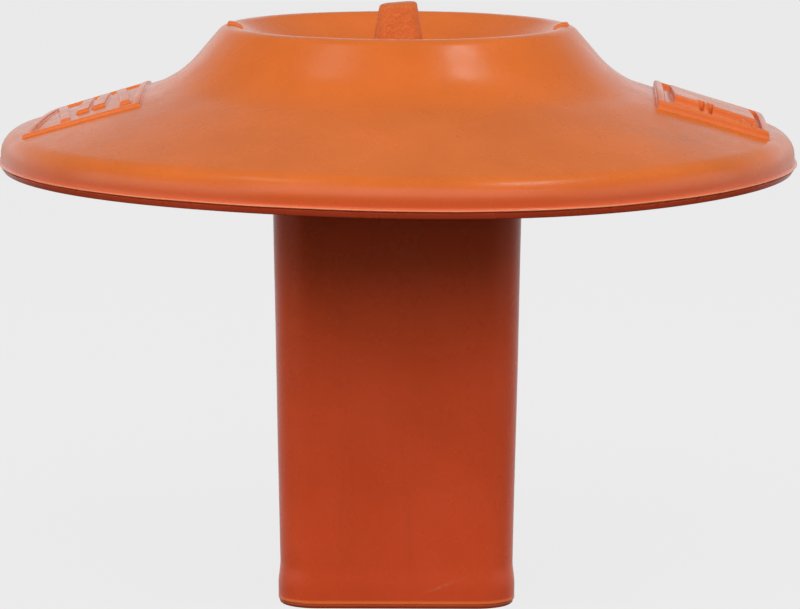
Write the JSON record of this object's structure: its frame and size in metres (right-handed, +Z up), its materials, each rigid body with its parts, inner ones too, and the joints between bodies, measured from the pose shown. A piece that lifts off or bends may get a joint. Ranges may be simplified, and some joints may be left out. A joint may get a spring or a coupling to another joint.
{
  "type": "batting tee",
  "caption": "Rubber batting tee head: a bell-shaped cap with a ball dish and centre peg, lifting off a hollow square post that stands on its own foot.",
  "frame": {"origin": "centre of the post's foot, on the ground", "axes": "+Z up along the post and peg; the badges are on the -X and +X sides; the front is -Y"},
  "size_m": [0.201, 0.201, 0.1493],
  "materials": {
    "cap_rubber": "matte orange rubber with a soft bloom",
    "rim_rubber": "matte orange rubber",
    "inner_rubber": "matte orange rubber",
    "badge_rubber": "matte orange rubber, worn paler on top",
    "post_rubber": "matte orange rubber, lightly marked",
    "foot_rubber": "matte orange rubber",
    "peg_rubber": "grainy orange rubber"
  },
  "bodies": {
    "post": {"post_tube": "post_rubber", "foot_plug": "foot_rubber"},
    "cap": {"cap_shell": "cap_rubber", "rim_ring": "rim_rubber", "post_socket": "inner_rubber", "peg_bush": "inner_rubber", "dish_pips": "cap_rubber", "left_badge_frame": "badge_rubber", "left_badge_emblem": "badge_rubber", "right_badge_frame": "badge_rubber", "right_badge_emblem": "badge_rubber"},
    "peg": {"ball_peg": "peg_rubber"}
  },
  "joints": [
    {"name": "cap_lift", "type": "slide", "parent": "post", "child": "cap", "axis": [0, 0, 1], "range_m": [0, 0.04]},
    {"name": "peg_pull", "type": "slide", "parent": "cap", "child": "peg", "axis": [0, 0, 1], "range_m": [0, 0.02]}
  ]
}
